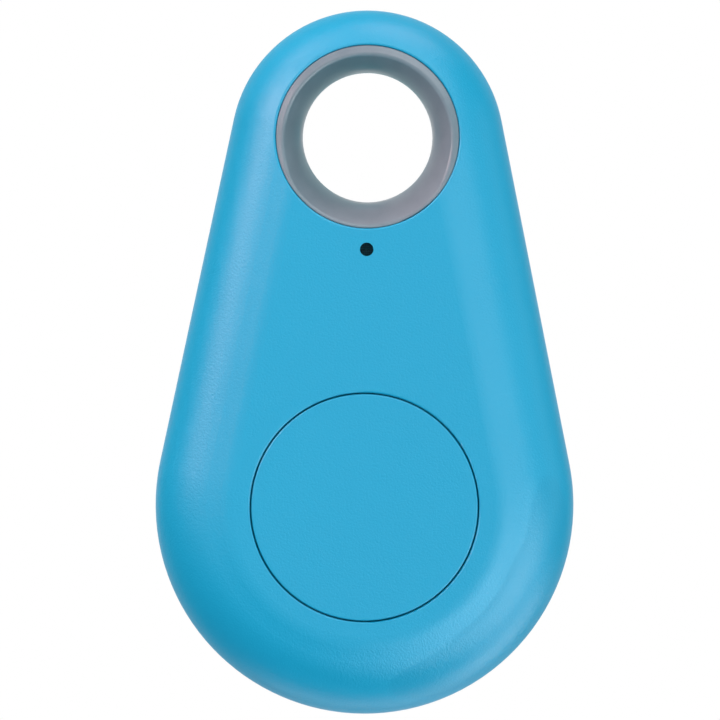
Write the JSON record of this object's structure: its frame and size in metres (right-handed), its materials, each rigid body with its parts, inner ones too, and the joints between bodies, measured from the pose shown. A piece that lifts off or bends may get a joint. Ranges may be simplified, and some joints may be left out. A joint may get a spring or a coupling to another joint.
{
  "type": "bluetooth tracker tag",
  "caption": "Teardrop tracker tag with a light-guide ring around its key-ring hole, a round push button, a sounder and a coin cell behind a lift-off rear cover.",
  "frame": {"origin": "centre of the key-ring bore, on the plane where the two shells part", "axes": "+Z along the tag toward its key-ring end, +Y out of the back face, the button faces -Y"},
  "size_m": [0.0308, 0.011, 0.052],
  "materials": {
    "shell_blue": "satin",
    "button_blue": "satin",
    "smoke_plastic": "gloss",
    "board_mask": "satin",
    "copper": "satin",
    "gold_plate": "polished",
    "chip_resin": "matte",
    "lead_metal": "satin",
    "capacitor_ceramic": "matte",
    "resistor_ceramic": "matte",
    "ferrite": "matte",
    "led_housing": "matte",
    "led_resin": "gloss",
    "sounder_black": "satin",
    "magnet": "satin",
    "spring_steel": "satin",
    "cell_steel": "satin",
    "gasket_plastic": "matte",
    "lithium": "matte",
    "cathode_pellet": "matte",
    "foam": "matte"
  },
  "bodies": {
    "housing": {"front_shell": "shell_blue", "light_ring": "smoke_plastic", "circuit_board": "board_mask", "antenna_trace": "copper", "bluetooth_chip": "chip_resin", "crystal": "lead_metal", "inductor": "ferrite", "transistor": "chip_resin", "capacitors": "capacitor_ceramic", "resistors": "resistor_ceramic", "test_pads": "gold_plate", "status_led_body": "led_housing", "status_led_lens": "led_resin", "sounder_case": "sounder_black", "sounder_base": "ferrite", "sounder_coil": "copper", "sounder_magnet": "magnet", "sounder_diaphragm": "spring_steel", "sounder_terminals": "lead_metal", "switch_base": "chip_resin", "switch_cover": "spring_steel", "switch_dome": "spring_steel", "switch_terminals": "lead_metal", "cell_clip": "spring_steel", "negative_contact": "spring_steel"},
    "button": {"push_button": "button_blue"},
    "stem": {"switch_stem": "sounder_black"},
    "rear_cover": {"rear_shell": "shell_blue", "battery_pad": "foam"},
    "cell": {"cell_can": "cell_steel", "cell_cap": "cell_steel", "cell_gasket": "gasket_plastic", "cell_anode": "lithium", "cell_cathode": "cathode_pellet"}
  },
  "joints": [
    {"name": "button_press", "type": "slide", "parent": "housing", "child": "button", "axis": [0, 1, 0], "range_m": [0, 0.00025], "stiffness_N_per_m": 3000, "springref_m": -0.0002},
    {"name": "stem_travel", "type": "slide", "parent": "housing", "child": "stem", "axis": [0, 1, 0], "range_m": [0, 0.00025], "deforming": ["switch_dome"]},
    {"name": "cover_lift", "type": "slide", "parent": "housing", "child": "rear_cover", "axis": [0, 1, 0], "range_m": [0, 0.032]},
    {"name": "cell_slide", "type": "slide", "parent": "housing", "child": "cell", "axis": [0, 0, -1], "range_m": [0, 0.024]}
  ],
  "couplings": [
    {"joint": "stem_travel", "follows": "button_press", "ratio": 1},
    {"joint": "cell_slide", "follows": "cover_lift", "ratio": 0.75}
  ]
}
